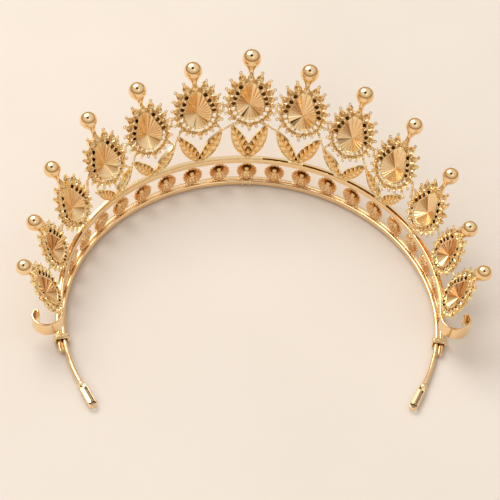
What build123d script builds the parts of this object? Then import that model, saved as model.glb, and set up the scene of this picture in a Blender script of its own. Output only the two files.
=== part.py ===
"""A gold pageant crown: an open headband with an upright casting tied to its front.

The frame has +Z up, its origin at the centre of the headband circle on the plane the
crown stands on, and the front of the crown towards -Y. An angle is measured from the
front about +Z, positive towards +X, which is the wearer's left. Lengths are in mm.
"""

import math
import os

from build123d import *

os.makedirs("parts", exist_ok=True)

# Tie wire: the three lashings reach this far under the band, so they touch the table
TIE_WIRE = 0.5
TIE_GAP = 0.05
SIDE_TIE_ANGLE = 100.5
SIDE_TIE_WIDTH = 2.6
FRONT_TIE_WIDTH = 0.9

# Headband: a rounded strip bent to an open circle
HOOP_RADIUS = 65.0
HOOP_THICKNESS = 1.6
HOOP_HEIGHT = 2.1
HOOP_END_ANGLE = 117.5
HOOP_CORNER = 0.6

# Ribbon eyelets on the ends of the headband
EYELET_LENGTH = 11.4
EYELET_WIDTH = 3.0
EYELET_THICKNESS = 1.4
EYELET_NECK = 3.0
SLOT_WIDTH = 0.65
SLOT_LENGTH = 6.4
SLOT_PITCH = 1.3

# Base rail and crown rail: the two hoops of the casting. The crown rail is a little
# smaller and sits further forward, so the wall between them leans in at the ends
CASTING_RADIUS = HOOP_RADIUS + HOOP_THICKNESS / 2
BASE_THICKNESS = 1.8
BASE_HEIGHT = 1.8
BASE_END_ANGLE = 105.0
CROWN_THICKNESS = 1.3
CROWN_BOTTOM = 10.6
CROWN_HEIGHT = 2.8
CROWN_SHIFT = 1.2
CROWN_END_ANGLE = 99.5
LEDGE_THICKNESS = 0.6
LEDGE_HEIGHT = 0.7
RAIL_CORNER = 0.3
RAIL_TOP = CROWN_BOTTOM + CROWN_HEIGHT
CROWN_RADIUS = CASTING_RADIUS + CROWN_THICKNESS / 2 - CROWN_SHIFT

# Rosettes: a row of small cups between the two hoops, open towards the head
ROSETTES_EACH_SIDE = 10
ROSETTE_PITCH = 9.05
ROSETTE_RADIUS = 3.95
ROSETTE_DEPTH = 2.4
ROSETTE_WALL = 0.6
ROSETTE_BOSS = 1.1
FOOT_RADIUS = 0.9

# Peaks: thirteen motifs at an even pitch, graded from the front to the ends. Heights are
# measured up the slope from the top of the crown rail
PEAK_PITCH = 16.0
PEAKS_EACH_SIDE = 6
LEAF_TILT = 3.0
DROP_TILT = 25.0
DROP_TILT_GAIN = 0.8
BEND_DROP = 8.0
FOCUS_HEIGHTS = [22.7, 20.3, 17.1, 14.3, 8.65, 6.8, 7.2]
BALL_HEIGHTS = [40.4, 36.8, 34.3, 32.3, 25.8, 20.6, 22.0]
PEAK_SCALES = [1.0, 1.0, 0.98, 0.98, 0.94, 0.84, 0.89]

# Leaf pairs: V-shaped pairs of leaves under the seven front drops
LEAF_TIPS = [(6.5, 15.7), (8.2, 13.2), (8.7, 9.8), (8.8, 8.2)]
LEAF_WIDTH_RATIO = 0.27
LEAF_THICKNESS = 0.9
LEAF_FOOT = 1.2

# Drop motif: pear-shaped outlines about a focus. Each has a radius at the sides, a rise
# towards its pointed top, a fall towards its bottom and the sharpness of its top
CUP = (5.2, 3.6, 0.3, 7)
HOLE_ROW = (6.3, 3.2, 0.5, 6)
HALO_ROOT = (7.6, 3.0, 0.7, 2)
HALO_TIP = (9.8, 3.9, 1.7, 2)
HALO_SPIKE = 9.2
SPIKED_STEPS = 4
HALO_THICKNESS = 1.4
HALO_PRONGS = 20
HOLE_RADIUS = 0.8
FIRST_HOLE_CORNER = 11
CUP_DEPTH = 1.9
CUP_WALL = 0.6
CUP_FOCUS_SCALE = 0.14

# Ball finials
BALL_RADIUS_FRONT = 3.5
BALL_RADIUS_END = 2.75
NECK_DROP = 1.38
NECK_SHARE = 0.27
STEM_RADIUS = 1.25

# End scrolls: an upright ribbon that curls outward round the last drop
SCROLL_RADIUS = 4.9
SCROLL_THICKNESS = 0.9
SCROLL_HEIGHT = 5.2
SCROLL_RUN = 2.6

# Link wires between neighbouring drops and neighbouring leaf tips
LINK_RADIUS = 0.45


def outward(angle):
    """Unit vector that points away from the middle of the crown."""
    turn = math.radians(angle)
    return Vector(math.sin(turn), -math.cos(turn), 0)


def along(angle):
    """Unit vector along the headband, towards larger angles."""
    turn = math.radians(angle)
    return Vector(math.cos(turn), math.sin(turn), 0)


def section_plane(angle, centre=(0, 0, 0)):
    """Radial plane: local x is the distance from the centre and local y is up."""
    return Plane(origin=centre, x_dir=outward(angle), z_dir=-along(angle))


def wall_plane(origin, angle, tilt=0.0):
    """Plane of the crown's wall: local x runs along it, y up it and z out of it."""
    lean = math.radians(tilt)
    normal = outward(angle) * math.cos(lean) - Vector(0, 0, math.sin(lean))
    return Plane(origin=origin, x_dir=along(angle), z_dir=normal)


def crown_point(angle, height):
    """Point on the middle line of the crown rail's strip."""
    return Vector(0, -CROWN_SHIFT, height) + outward(angle) * CROWN_RADIUS


def leaf_plane(step):
    angle = step * PEAK_PITCH
    return wall_plane(crown_point(angle, RAIL_TOP), angle, LEAF_TILT)


def drop_plane(step):
    """Plane of one drop, with its origin at the focus where the drop's ribs meet."""
    angle = step * PEAK_PITCH
    focus = FOCUS_HEIGHTS[abs(step)]
    bend = max(focus - BEND_DROP, 0)
    foot = leaf_plane(step).from_local_coords(Vector(0, bend, 0))
    tilt = DROP_TILT + DROP_TILT_GAIN * abs(step)
    lean = math.radians(tilt)
    upward = outward(angle) * math.sin(lean) + Vector(0, 0, math.cos(lean))
    return wall_plane(foot + upward * (focus - bend), angle, tilt)


def pear_radius(outline, turn):
    """Radius of a pear outline at an angle from its top."""
    side, rise, fall, sharpness = outline
    lift = math.cos(turn)
    return side + rise * max(lift, 0) ** sharpness - fall * max(-lift, 0) ** 2


def pear_point(outline, turn, scale):
    radius = scale * pear_radius(outline, turn)
    return (radius * math.sin(turn), radius * math.cos(turn))


def pear_ring(outline, scale, inset=0.0, count=24):
    """Points round a pear outline, moved in towards the focus by the inset."""
    points = []
    for i in range(count):
        turn = 2 * math.pi * i / count
        radius = scale * pear_radius(outline, turn) - inset
        points.append((radius * math.sin(turn), radius * math.cos(turn)))
    return points


def peak_number(step):
    """Peaks are numbered from the wearer's right end, so the front one is in the middle."""
    return step + PEAKS_EACH_SIDE + 1


def save(piece, label):
    piece.part.label = label
    export_step(piece.part, f"parts/{label}.step")


def bent_bar(inner, outer, bottom, top, end_angle, corner):
    """Rounded bar bent round the crown's axis, the same distance to each side."""
    with BuildPart() as bar:
        with BuildSketch(section_plane(-end_angle)):
            with Locations(((inner + outer) / 2, (bottom + top) / 2)):
                RectangleRounded(outer - inner, top - bottom, corner)
        revolve(axis=Axis.Z, revolution_arc=2 * end_angle)
    return bar


# ---------------------------------------------------------------- headband
headband = bent_bar(
    HOOP_RADIUS - HOOP_THICKNESS / 2,
    HOOP_RADIUS + HOOP_THICKNESS / 2,
    TIE_WIRE,
    TIE_WIRE + HOOP_HEIGHT,
    HOOP_END_ANGLE,
    HOOP_CORNER,
)
save(headband, "headband")


def make_eyelet(side, label):
    """Flat oval end with two slots for a ribbon, on a neck that widens from the band."""
    angle = side * HOOP_END_ANGLE
    base = outward(angle) * HOOP_RADIUS + Vector(0, 0, TIE_WIRE + HOOP_HEIGHT / 2)
    plane = Plane(origin=base, x_dir=along(angle) * side, z_dir=(0, 0, 1))
    body_length = EYELET_LENGTH - EYELET_NECK + EYELET_WIDTH / 2
    body_middle = EYELET_LENGTH - body_length / 2
    with BuildPart() as eyelet:
        with BuildSketch(plane):
            with BuildLine():
                Polyline(
                    (0, -HOOP_THICKNESS / 2),
                    (EYELET_NECK, -EYELET_WIDTH / 2),
                    (body_middle, -EYELET_WIDTH / 2),
                    (body_middle, EYELET_WIDTH / 2),
                    (EYELET_NECK, EYELET_WIDTH / 2),
                    (0, HOOP_THICKNESS / 2),
                    close=True,
                )
            make_face()
            with Locations((body_middle, 0)):
                SlotOverall(body_length, EYELET_WIDTH)
            slot_middle = EYELET_NECK + SLOT_LENGTH / 2
            with Locations((slot_middle, SLOT_PITCH / 2), (slot_middle, -SLOT_PITCH / 2)):
                SlotOverall(SLOT_LENGTH, SLOT_WIDTH, mode=Mode.SUBTRACT)
        extrude(amount=EYELET_THICKNESS / 2, both=True)
    save(eyelet, label)


make_eyelet(1, "left_eyelet")
make_eyelet(-1, "right_eyelet")

# ---------------------------------------------------------------- rails
base_rail = bent_bar(
    CASTING_RADIUS,
    CASTING_RADIUS + BASE_THICKNESS,
    TIE_WIRE,
    TIE_WIRE + BASE_HEIGHT,
    BASE_END_ANGLE,
    RAIL_CORNER,
)
save(base_rail, "base_rail")

crown_centre = (0, -CROWN_SHIFT, 0)
with BuildPart() as crown_rail:
    with BuildSketch(section_plane(-CROWN_END_ANGLE, crown_centre)):
        with Locations((CROWN_RADIUS, CROWN_BOTTOM + CROWN_HEIGHT / 2)):
            RectangleRounded(CROWN_THICKNESS, CROWN_HEIGHT, RAIL_CORNER)
        ledge_bottom = RAIL_TOP - RAIL_CORNER - LEDGE_HEIGHT
        with Locations((CROWN_RADIUS, ledge_bottom)):
            Rectangle(
                CROWN_THICKNESS / 2 + LEDGE_THICKNESS,
                LEDGE_HEIGHT,
                align=(Align.MIN, Align.MIN),
            )
    revolve(axis=Axis(crown_centre, (0, 0, 1)), revolution_arc=2 * CROWN_END_ANGLE)
save(crown_rail, "crown_rail")

# ---------------------------------------------------------------- rosettes
rosette_bottom = TIE_WIRE + BASE_HEIGHT
rosette_rise = CROWN_BOTTOM - ROSETTE_RADIUS - rosette_bottom
with BuildPart() as rosette:
    # the cup is turned about the local z axis, with its mouth at z = 0
    with BuildSketch(Plane.XZ):
        with BuildLine():
            Polyline(
                (0, ROSETTE_DEPTH),
                (ROSETTE_BOSS, ROSETTE_DEPTH),
                (ROSETTE_RADIUS, 0),
                (ROSETTE_RADIUS - ROSETTE_WALL, 0),
                (ROSETTE_BOSS, ROSETTE_DEPTH - ROSETTE_WALL * 1.5),
                (ROSETTE_BOSS * 0.8, ROSETTE_DEPTH - ROSETTE_WALL),
                (ROSETTE_BOSS * 0.8, ROSETTE_WALL),
                (0, ROSETTE_WALL),
                close=True,
            )
        make_face()
    revolve(axis=Axis.Z)
    foot_top = -ROSETTE_RADIUS + ROSETTE_WALL
    foot_length = rosette_rise + foot_top
    with BuildSketch(Plane.XZ.offset(-foot_top)):
        with Locations((0, FOOT_RADIUS)):
            Circle(FOOT_RADIUS)
    extrude(amount=foot_length)


def rosette_plane(step):
    """Plane of one cup's mouth, leaning in as far as the crown rail does there."""
    angle = step * ROSETTE_PITCH
    turn = math.radians(angle)
    reach = CROWN_RADIUS - CROWN_THICKNESS / 2 + CROWN_SHIFT * math.cos(turn)
    lean = math.atan2(CASTING_RADIUS - reach, CROWN_BOTTOM - rosette_bottom)
    foot = outward(angle) * CASTING_RADIUS + Vector(0, 0, rosette_bottom)
    upward = Vector(0, 0, math.cos(lean)) - outward(angle) * math.sin(lean)
    return wall_plane(foot + upward * rosette_rise, angle, -math.degrees(lean))


with BuildPart() as rosettes:
    steps = range(-ROSETTES_EACH_SIDE, ROSETTES_EACH_SIDE + 1)
    with Locations(*[rosette_plane(step).location for step in steps]):
        add(rosette.part)
save(rosettes, "rosettes")


# ---------------------------------------------------------------- leaves
def make_leaf_pair(step):
    """Two pointed leaves that rise in a V from one foot on the crown rail."""
    reach, rise = LEAF_TIPS[abs(step)]
    length = math.hypot(reach, rise)
    half_width = length * LEAF_WIDTH_RATIO / 2
    with BuildPart() as pair:
        with BuildSketch(leaf_plane(step)):
            with Locations((0, LEAF_FOOT / 2)):
                Rectangle(LEAF_FOOT, LEAF_FOOT)
            for side in (-1, 1):
                tip = (side * reach, rise)
                across = (rise / length * half_width, -side * reach / length * half_width)
                one_edge = (tip[0] / 2 + across[0], tip[1] / 2 + across[1])
                other_edge = (tip[0] / 2 - across[0], tip[1] / 2 - across[1])
                with BuildLine():
                    ThreePointArc((0, 0), one_edge, tip)
                    ThreePointArc(tip, other_edge, (0, 0))
                make_face()
        extrude(amount=LEAF_THICKNESS / 2, both=True)
    save(pair, f"leaf_pair_{peak_number(step):02d}")


for leaf_step in range(1 - len(LEAF_TIPS), len(LEAF_TIPS)):
    make_leaf_pair(leaf_step)


# ---------------------------------------------------------------- drops
def make_drop_setting(step):
    """Halo of pointed prongs round the drop's opening, pierced by holes on its lower side."""
    scale = PEAK_SCALES[abs(step)]
    # the top is a flat land between the first and last corners, where the finial stands
    last = 2 * HALO_PRONGS - 1
    star = []
    for corner in range(1, last + 1):
        outline = HALO_TIP if corner % 2 == 0 else HALO_ROOT
        star.append(pear_point(outline, math.pi * corner / HALO_PRONGS, scale))
    if abs(step) <= SPIKED_STEPS:
        star[HALO_PRONGS - 1] = (0, -scale * HALO_SPIKE)
    holes = [
        pear_point(HOLE_ROW, math.pi * corner / HALO_PRONGS, scale)
        for corner in range(FIRST_HOLE_CORNER, last + 2 - FIRST_HOLE_CORNER, 2)
    ]
    with BuildPart() as setting:
        with BuildSketch(drop_plane(step)):
            with BuildLine():
                Polyline(*star, close=True)
            make_face()
            with BuildLine():
                Spline(*pear_ring(CUP, scale), periodic=True)
            make_face(mode=Mode.SUBTRACT)
            with Locations(*holes):
                Circle(HOLE_RADIUS * scale, mode=Mode.SUBTRACT)
        extrude(amount=HALO_THICKNESS / 2, both=True)
    save(setting, f"drop_setting_{peak_number(step):02d}")


def make_sunburst(step):
    """Thin pear-shaped cup, open towards the head, that narrows to the focus."""
    scale = PEAK_SCALES[abs(step)]
    mouth = drop_plane(step).offset(-HALO_THICKNESS / 2)
    with BuildPart() as sunburst:
        for inset in (0, CUP_WALL):
            mode = Mode.ADD if inset == 0 else Mode.SUBTRACT
            with BuildSketch(mouth):
                with BuildLine():
                    Spline(*pear_ring(CUP, scale, inset), periodic=True)
                make_face()
            with BuildSketch(mouth.offset(CUP_DEPTH - inset)):
                with BuildLine():
                    Spline(*pear_ring(CUP, scale * CUP_FOCUS_SCALE), periodic=True)
                make_face()
            loft(mode=mode)
    save(sunburst, f"sunburst_{peak_number(step):02d}")


def make_finial(step):
    """Ball that tapers to a neck, on a stem that stands on the top of the halo."""
    share = abs(step) / PEAKS_EACH_SIDE
    ball = BALL_RADIUS_FRONT + (BALL_RADIUS_END - BALL_RADIUS_FRONT) * share
    scale = PEAK_SCALES[abs(step)]
    centre = BALL_HEIGHTS[abs(step)] - FOCUS_HEIGHTS[abs(step)]
    foot = pear_point(HALO_ROOT, math.pi / HALO_PRONGS, scale)[1]
    neck = (ball * NECK_SHARE, centre - ball * NECK_DROP)
    side = (ball * math.sin(math.radians(130)), centre + ball * math.cos(math.radians(130)))
    with BuildPart() as finial:
        with BuildSketch(drop_plane(step)):
            with BuildLine():
                Line((0, centre + ball), (0, foot))
                Line((0, foot), (STEM_RADIUS, foot))
                Line((STEM_RADIUS, foot), neck)
                Line(neck, side)
                ThreePointArc(side, (ball, centre), (0, centre + ball))
            make_face()
        plane = drop_plane(step)
        revolve(axis=Axis(plane.origin, plane.y_dir))
    save(finial, f"ball_finial_{peak_number(step):02d}")


for peak_step in range(-PEAKS_EACH_SIDE, PEAKS_EACH_SIDE + 1):
    make_drop_setting(peak_step)
    make_sunburst(peak_step)
    make_finial(peak_step)


# ---------------------------------------------------------------- end scrolls
def make_end_scroll(side, label):
    """Upright ribbon: along the rail, half a turn outward, then back beside the drop."""
    angle = side * CROWN_END_ANGLE
    start = crown_point(angle, RAIL_TOP - SCROLL_HEIGHT)
    plane = Plane(origin=start, x_dir=along(angle) * side, z_dir=(0, 0, 1))
    # local y points outward on the left side and inward on the right side
    out = -side
    with BuildPart() as scroll:
        with BuildSketch(plane):
            with BuildLine():
                ThreePointArc(
                    (0, 0),
                    (SCROLL_RADIUS, out * SCROLL_RADIUS),
                    (0, out * 2 * SCROLL_RADIUS),
                )
                ThreePointArc(
                    (0, out * 2 * SCROLL_RADIUS),
                    (-SCROLL_RUN * 0.55, out * (2 * SCROLL_RADIUS - 0.15)),
                    (-SCROLL_RUN, out * (2 * SCROLL_RADIUS - 0.5)),
                )
            trace(line_width=SCROLL_THICKNESS)
        extrude(amount=SCROLL_HEIGHT)
    save(scroll, label)


make_end_scroll(1, "left_end_scroll")
make_end_scroll(-1, "right_end_scroll")


# ---------------------------------------------------------------- lashings
def make_lashing(angle, width, offsets, label):
    """Wire wound in close bands round the headband and the base rail."""
    inner = HOOP_RADIUS - HOOP_THICKNESS / 2 - TIE_GAP
    outer = CASTING_RADIUS + BASE_THICKNESS + TIE_GAP
    top = TIE_WIRE + HOOP_HEIGHT + TIE_GAP
    section = section_plane(angle)
    with BuildPart() as lashing:
        for offset in offsets:
            with BuildSketch(section.offset(offset)):
                with Locations(((inner + outer) / 2, (top + TIE_WIRE) / 2)):
                    RectangleRounded(
                        outer - inner + 2 * TIE_WIRE,
                        top + TIE_WIRE,
                        RAIL_CORNER,
                    )
                with Locations(((inner + outer) / 2, (top + TIE_WIRE) / 2)):
                    Rectangle(outer - inner, top - TIE_WIRE, mode=Mode.SUBTRACT)
            extrude(amount=width / 2, both=True)
    save(lashing, label)


front_offset = FOOT_RADIUS + FRONT_TIE_WIDTH / 2 + TIE_GAP
make_lashing(0, FRONT_TIE_WIDTH, (-front_offset, front_offset), "front_lashing")
make_lashing(SIDE_TIE_ANGLE, SIDE_TIE_WIDTH, (0,), "left_lashing")
make_lashing(-SIDE_TIE_ANGLE, SIDE_TIE_WIDTH, (0,), "right_lashing")


# ---------------------------------------------------------------- link wires
def link_ends(step, plane_of, here, there):
    """Ends of the wire from a point beside one peak to its mirror beside the next."""
    start = plane_of(step).from_local_coords(Vector(here[0], here[1], 0))
    end = plane_of(step + 1).from_local_coords(Vector(-there[0], there[1], 0))
    return start, end


def side_point(step):
    """Tip of the halo's widest prong, level with its focus."""
    return pear_point(HALO_TIP, math.pi / 2, PEAK_SCALES[abs(step)])


side_spans = [
    link_ends(step, drop_plane, side_point(step), side_point(step + 1))
    for step in range(-PEAKS_EACH_SIDE, PEAKS_EACH_SIDE)
]
tip_spans = [
    link_ends(step, leaf_plane, LEAF_TIPS[abs(step)], LEAF_TIPS[abs(step + 1)])
    for step in range(1 - len(LEAF_TIPS), len(LEAF_TIPS) - 1)
]

with BuildPart() as side_links:
    for start, end in side_spans:
        with BuildSketch(Plane(origin=start, z_dir=end - start)):
            Circle(LINK_RADIUS)
        extrude(amount=(end - start).length)
save(side_links, "side_links")

with BuildPart() as tip_links:
    for start, end in tip_spans:
        with BuildSketch(Plane(origin=start, z_dir=end - start)):
            Circle(LINK_RADIUS)
        extrude(amount=(end - start).length)
save(tip_links, "tip_links")
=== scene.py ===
"""The crown, dressed over its CAD frame: detailed gold pieces, a plaster table and soft light.

Shapes are written in millimetres and scaled to metres when a mesh is made. An angle is
measured from the front of the crown (-Y) and is positive towards +X, as in the CAD.
"""

import math
import random

import bmesh
import bpy
from mathutils import Matrix, Vector


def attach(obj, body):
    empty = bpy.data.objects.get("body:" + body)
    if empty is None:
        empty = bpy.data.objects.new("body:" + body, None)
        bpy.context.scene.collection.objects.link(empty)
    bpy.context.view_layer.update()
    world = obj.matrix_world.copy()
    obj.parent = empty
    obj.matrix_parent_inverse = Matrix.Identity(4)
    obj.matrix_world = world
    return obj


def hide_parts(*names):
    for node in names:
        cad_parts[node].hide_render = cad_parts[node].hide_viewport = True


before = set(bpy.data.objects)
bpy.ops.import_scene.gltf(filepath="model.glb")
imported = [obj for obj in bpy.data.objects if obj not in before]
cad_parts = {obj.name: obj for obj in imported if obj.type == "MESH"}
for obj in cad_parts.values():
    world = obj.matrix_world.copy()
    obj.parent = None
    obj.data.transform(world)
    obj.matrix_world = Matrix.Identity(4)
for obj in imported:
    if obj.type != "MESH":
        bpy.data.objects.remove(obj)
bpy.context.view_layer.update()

MM = 0.001
TAU = 2 * math.pi
random.seed(11)

# ------------------------------------------------------------------ sizes shared with the CAD
TIE_WIRE = 0.5
HOOP_RADIUS = 65.0
HOOP_THICKNESS = 1.6
HOOP_HEIGHT = 2.1
HOOP_END_ANGLE = 117.5
EYELET_LENGTH = 11.4
EYELET_WIDTH = 3.0
EYELET_THICKNESS = 1.4
EYELET_NECK = 3.0
SLOT_WIDTH = 0.65
SLOT_LENGTH = 6.4
SLOT_PITCH = 1.3
CASTING_RADIUS = HOOP_RADIUS + HOOP_THICKNESS / 2
BASE_THICKNESS = 1.8
BASE_HEIGHT = 1.8
BASE_END_ANGLE = 105.0
CROWN_THICKNESS = 1.3
CROWN_BOTTOM = 10.6
CROWN_HEIGHT = 2.8
CROWN_SHIFT = 1.2
CROWN_END_ANGLE = 99.5
RAIL_TOP = CROWN_BOTTOM + CROWN_HEIGHT
CROWN_RADIUS = CASTING_RADIUS + CROWN_THICKNESS / 2 - CROWN_SHIFT
ROSETTES_EACH_SIDE = 10
ROSETTE_PITCH = 9.05
ROSETTE_RADIUS = 3.95
PEAK_PITCH = 16.0
PEAKS_EACH_SIDE = 6
LEAF_TILT = 3.0
DROP_TILT = 25.0
DROP_TILT_GAIN = 0.8
BEND_DROP = 8.0
FOCUS_HEIGHTS = [22.7, 20.3, 17.1, 14.3, 8.65, 6.8, 7.2]
BALL_HEIGHTS = [40.4, 36.8, 34.3, 32.3, 25.8, 20.6, 22.0]
PEAK_SCALES = [1.0, 1.0, 0.98, 0.98, 0.94, 0.84, 0.89]
LEAF_TIPS = [(6.5, 15.7), (8.2, 13.2), (8.7, 9.8), (8.8, 8.2)]
# pear outlines about the focus: radius at the sides, rise, fall and sharpness of the top
CUP = (5.2, 3.6, 0.3, 7)
HOLE_ROW = (6.3, 3.2, 0.5, 6)
HALO_ROOT = (7.6, 3.0, 0.7, 2)
HALO_TIP = (9.8, 3.9, 1.7, 2)
HALO_SPIKE = 9.2
SPIKED_STEPS = 4
HALO_THICKNESS = 1.4
HALO_PRONGS = 20
HOLE_CORNERS = range(3, 2 * HALO_PRONGS - 2, 2)
FIRST_HOLE_CORNER = 11
CUP_DEPTH = 1.9
BALL_RADIUS_FRONT = 3.5
BALL_RADIUS_END = 2.75
NECK_DROP = 1.38
NECK_SHARE = 0.27
STEM_RADIUS = 1.25
SCROLL_RADIUS = 4.9
SCROLL_THICKNESS = 0.9
SCROLL_HEIGHT = 5.2
SCROLL_RUN = 2.6
LINK_RADIUS = 0.45
SIDE_TIE_ANGLE = 100.5

# ------------------------------------------------------------------ sizes of the finer detail
PLEATS = 26
PLEAT_FLAT = 0.66
PLEAT_RISE = 0.055
# share of the pleat's width, height as a share of its rise and tone of the face that follows
PLEAT_PROFILE = [(0.0, 0.0, 0), (PLEAT_FLAT, 1.0, 1), (0.84, -0.3, 1)]
LAST_REVERSED_STEP = -5
LEAF_WIDTH_SHARE = 0.305
# a plate's face that is taller than this belongs to its edge or to the wall of a hole
WALL_DEPTH = 0.4


# ------------------------------------------------------------------ places
def outward(angle):
    turn = math.radians(angle)
    return Vector((math.sin(turn), -math.cos(turn), 0))


def along(angle):
    turn = math.radians(angle)
    return Vector((math.cos(turn), math.sin(turn), 0))


def place(origin, x_axis, z_axis):
    """Matrix of a plane from its origin, its x direction and its normal."""
    x_axis, z_axis = x_axis.normalized(), z_axis.normalized()
    y_axis = z_axis.cross(x_axis)
    matrix = Matrix((x_axis, y_axis, z_axis)).transposed().to_4x4()
    matrix.translation = origin
    return matrix


def wall_place(origin, angle, tilt=0.0):
    """Plane of the crown's wall: x runs along it, y up it and z out of it."""
    lean = math.radians(tilt)
    normal = outward(angle) * math.cos(lean) - Vector((0, 0, math.sin(lean)))
    return place(origin, along(angle), normal)


def crown_point(angle, height):
    """Point on the middle line of the crown rail's strip."""
    return Vector((0, -CROWN_SHIFT, height)) + outward(angle) * CROWN_RADIUS


def leaf_place(step):
    angle = step * PEAK_PITCH
    return wall_place(crown_point(angle, RAIL_TOP), angle, LEAF_TILT)


def drop_place(step):
    """Plane of one drop, with its origin at the focus where the drop's ribs meet."""
    angle = step * PEAK_PITCH
    focus = FOCUS_HEIGHTS[abs(step)]
    bend = max(focus - BEND_DROP, 0)
    foot = leaf_place(step) @ Vector((0, bend, 0))
    tilt = DROP_TILT + DROP_TILT_GAIN * abs(step)
    lean = math.radians(tilt)
    upward = outward(angle) * math.sin(lean) + Vector((0, 0, math.cos(lean)))
    return wall_place(foot + upward * (focus - bend), angle, tilt)


def pear_radius(outline, turn):
    """Radius of a pear outline at an angle from its top."""
    side, rise, fall, sharpness = outline
    lift = math.cos(turn)
    return side + rise * max(lift, 0) ** sharpness - fall * max(-lift, 0) ** 2


def pear_point(outline, turn, scale, height=0.0):
    radius = scale * pear_radius(outline, turn)
    return Vector((radius * math.sin(turn), radius * math.cos(turn), height))


# ------------------------------------------------------------------ mesh building
class Shape:
    """Vertices and faces in millimetres, gathered from several primitives.

    Each face has a tone: the number of the material it takes from the piece's list.
    """

    def __init__(self):
        self.verts = []
        self.faces = []
        self.tones = []

    def add(self, verts, faces, matrix=None, tone=0):
        base = len(self.verts)
        if matrix is not None:
            verts = [matrix @ Vector(v) for v in verts]
        self.verts.extend(verts)
        self.faces.extend(tuple(base + i for i in face) for face in faces)
        self.tones.extend([tone] * len(faces))

    def add_shape(self, other, matrix=None):
        self.add(other.verts, other.faces, matrix)
        self.tones[len(self.tones) - len(other.tones) :] = other.tones


def grid_faces(rows, columns, wrap_rows=False, wrap_columns=False):
    faces = []
    for r in range(rows if wrap_rows else rows - 1):
        for c in range(columns if wrap_columns else columns - 1):
            r2, c2 = (r + 1) % rows, (c + 1) % columns
            faces.append(
                (r * columns + c, r * columns + c2, r2 * columns + c2, r2 * columns + c)
            )
    return faces


def bead(radius, squash=1.0, rings=7, sides=12):
    """Ball of the given radius about the origin, flattened along z."""
    verts = [Vector((0, 0, -radius * squash))]
    for i in range(1, rings):
        lift = -math.pi / 2 + math.pi * i / rings
        for k in range(sides):
            turn = TAU * k / sides
            flat = radius * math.cos(lift)
            verts.append(
                Vector(
                    (flat * math.cos(turn), flat * math.sin(turn), radius * squash * math.sin(lift))
                )
            )
    verts.append(Vector((0, 0, radius * squash)))
    faces = []
    for k in range(sides):
        k2 = (k + 1) % sides
        faces.append((0, 1 + k2, 1 + k))
        top = 1 + (rings - 2) * sides
        faces.append((len(verts) - 1, top + k, top + k2))
        for i in range(rings - 2):
            a, b = 1 + i * sides, 1 + (i + 1) * sides
            faces.append((a + k, a + k2, b + k2, b + k))
    return verts, faces


def tube(points, radii, sides=8, closed=False, first_up=None):
    """Round wire through the points; its ends are drawn in to a small cap."""
    count = len(points)
    points = [Vector(p) for p in points]
    if not hasattr(radii, "__len__"):
        radii = [radii] * count
    tangents = []
    for i in range(count):
        if closed:
            t = points[(i + 1) % count] - points[i - 1]
        else:
            t = points[min(i + 1, count - 1)] - points[max(i - 1, 0)]
        tangents.append(t.normalized())
    up = first_up or Vector((0, 0, 1))
    if abs(up.dot(tangents[0])) > 0.95:
        up = Vector((1, 0, 0))
    verts = []
    for i in range(count):
        up = (up - tangents[i] * up.dot(tangents[i])).normalized()
        side = tangents[i].cross(up)
        for k in range(sides):
            turn = TAU * k / sides
            across, lift = math.cos(turn) * radii[i], math.sin(turn) * radii[i]
            verts.append(points[i] + side * across + up * lift)
    faces = grid_faces(count, sides, wrap_rows=closed, wrap_columns=True)
    if not closed:
        for end, order in ((0, 1), (count - 1, -1)):
            tip = points[end] - tangents[end] * (radii[end] * 0.35 * order)
            verts.append(tip)
            hub = len(verts) - 1
            ring = [end * sides + k for k in range(sides)][::order]
            faces.extend((hub, ring[(k + 1) % sides], ring[k]) for k in range(sides))
    return verts, faces


def turned(profile, sides=32):
    """Solid turned about the local y axis from (radius, height) points, open ends closed."""
    verts, rows = [], len(profile)
    for radius, height in profile:
        for k in range(sides):
            turn = TAU * k / sides
            verts.append(Vector((radius * math.cos(turn), height, -radius * math.sin(turn))))
    faces = grid_faces(rows, sides, wrap_columns=True)
    for row, order in ((0, -1), (rows - 1, 1)):
        verts.append(Vector((0, profile[row][1], 0)))
        hub = len(verts) - 1
        ring = [row * sides + k for k in range(sides)][::order]
        faces.extend((hub, ring[k], ring[(k + 1) % sides]) for k in range(sides))
    return verts, faces


def bent_bar(section, start, end, centre=(0, 0, 0), steps=200):
    """Closed (radius, height) section carried round an upright axis between two angles."""
    verts = []
    size = len(section)
    for i in range(steps + 1):
        out = outward(start + (end - start) * i / steps)
        verts.extend(
            Vector(centre) + out * radius + Vector((0, 0, height)) for radius, height in section
        )
    faces = grid_faces(steps + 1, size, wrap_columns=True)
    faces.append(tuple(range(size - 1, -1, -1)))
    faces.append(tuple(steps * size + k for k in range(size)))
    return verts, faces


def skin(front, back, rows, columns):
    """Closed sheet between a front and a back grid of points."""
    count = rows * columns
    faces = grid_faces(rows, columns)
    faces += [tuple(v + count for v in face) for face in faces]
    for i in range(rows - 1):
        for k in (0, columns - 1):
            a, b = i * columns + k, (i + 1) * columns + k
            faces.append((a, b, b + count, a + count))
    for k in range(columns - 1):
        for i in (0, rows - 1):
            a = i * columns + k
            faces.append((a, a + 1, a + 1 + count, a + count))
    return list(front) + list(back), faces


def oval(centre, length, width, steps=8):
    """Slot outline along x: two half circles joined by straight sides."""
    half = (length - width) / 2
    points = []
    for start, side in ((-math.pi / 2, 1), (math.pi / 2, -1)):
        for i in range(steps + 1):
            turn = start + math.pi * i / steps
            x = centre[0] + side * half + width / 2 * math.cos(turn)
            points.append((x, centre[1] + width / 2 * math.sin(turn)))
    return points


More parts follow.
